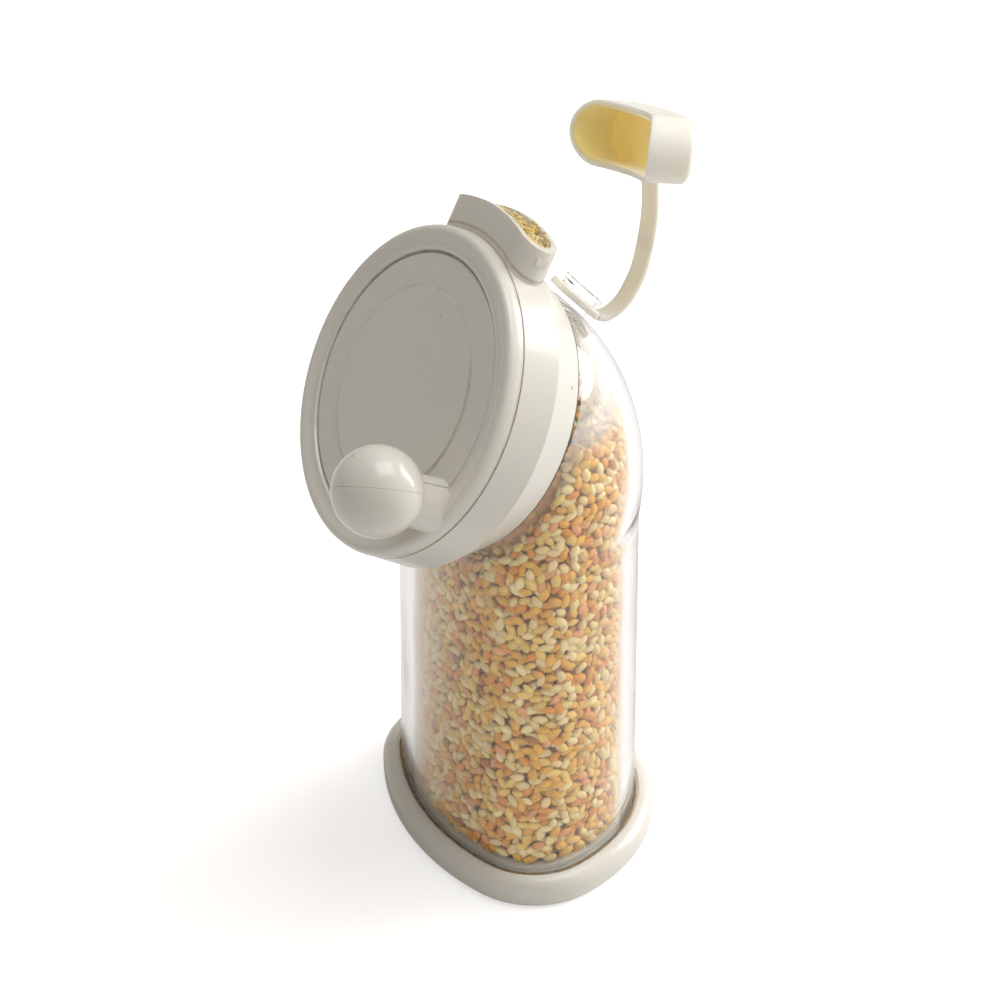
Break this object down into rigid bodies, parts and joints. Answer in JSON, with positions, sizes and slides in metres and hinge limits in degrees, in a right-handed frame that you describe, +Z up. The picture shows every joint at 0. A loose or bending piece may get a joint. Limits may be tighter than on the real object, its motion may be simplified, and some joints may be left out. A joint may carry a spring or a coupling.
{
  "type": "hand cranked sesame grinder",
  "caption": "Hand cranked sesame grinder: clear oval seed container, tilted round head with a crank disc and ball knob, top spout with a strapped cap, and a pull-off base lid.",
  "frame": {"origin": "on the base lid's underside, on the object's middle plane, 20.6 mm behind the front point of the base", "axes": "+Z up, -Y to the front, where the crank disc faces, +X to the side where the knob stands at rest"},
  "size_m": [0.0642, 0.0837, 0.1552],
  "materials": {
    "container_clear": "clear moulded plastic with a light haze",
    "cream_shell": "glossy ivory plastic",
    "soft_cap": "soft satin polyethylene, cream",
    "seal": "silicone, pale grey",
    "ceramic": "fine matt ceramic, off-white",
    "steel": "stainless steel, turned",
    "bearing": "acetal, natural white",
    "inner_plastic": "moulded plastic, cream"
  },
  "bodies": {
    "grinder": {"container": "container_clear", "strap_tab": "soft_cap", "head_housing": "cream_shell", "neck_seal": "seal", "fixed_burr": "ceramic", "burr_cage": "inner_plastic", "cage_screws": "steel", "shaft_bush": "bearing", "spring_cover": "inner_plastic"},
    "base": {"base_lid": "cream_shell", "lid_seal": "seal"},
    "crank": {"crank_disc": "cream_shell", "knob_pin": "bearing", "drive_shaft": "steel", "spacer_washer": "bearing", "turning_burr": "ceramic", "burr_spring": "steel", "spring_washer": "steel", "lock_nut": "steel"},
    "knob": {"ball_knob": "cream_shell"},
    "strap": {"cap_strap": "soft_cap"},
    "strap_top": {"strap_end": "soft_cap"},
    "cap": {"spout_cap": "soft_cap"}
  },
  "joints": [
    {"name": "crank_spin", "type": "hinge", "parent": "grinder", "child": "crank", "pos_m": [0, -0.01904, 0.10885], "axis": [0, -0.8545, 0.5195], "continuous": true},
    {"name": "knob_spin", "type": "hinge", "parent": "crank", "child": "knob", "pos_m": [0.02346, -0.03624, 0.10655], "axis": [0, -0.8545, 0.5195], "continuous": true},
    {"name": "base_pull", "type": "slide", "parent": "grinder", "child": "base", "axis": [0, 0, -1], "range_m": [0, 0.012]},
    {"name": "cap_swing", "type": "hinge", "parent": "grinder", "child": "strap", "pos_m": [0, 0.02151, 0.12829], "axis": [0.9816, -0.1261, 0.1435], "range_deg": [0, 75.6], "deforming": ["cap_strap"]},
    {"name": "cap_press", "type": "slide", "parent": "strap", "child": "strap_top", "axis": [-0.09, -0.9581, 0.2718], "range_m": [0, 0.0075], "deforming": ["strap_end"]},
    {"name": "cap_untwist", "type": "hinge", "parent": "strap_top", "child": "cap", "pos_m": [-0.00319, 0.03279, 0.1385], "axis": [-0.09, -0.9581, 0.2718], "range_deg": [-22.2, 0]}
  ],
  "couplings": [
    {"joint": "cap_untwist", "follows": "cap_swing", "ratio": -0.29299}
  ]
}
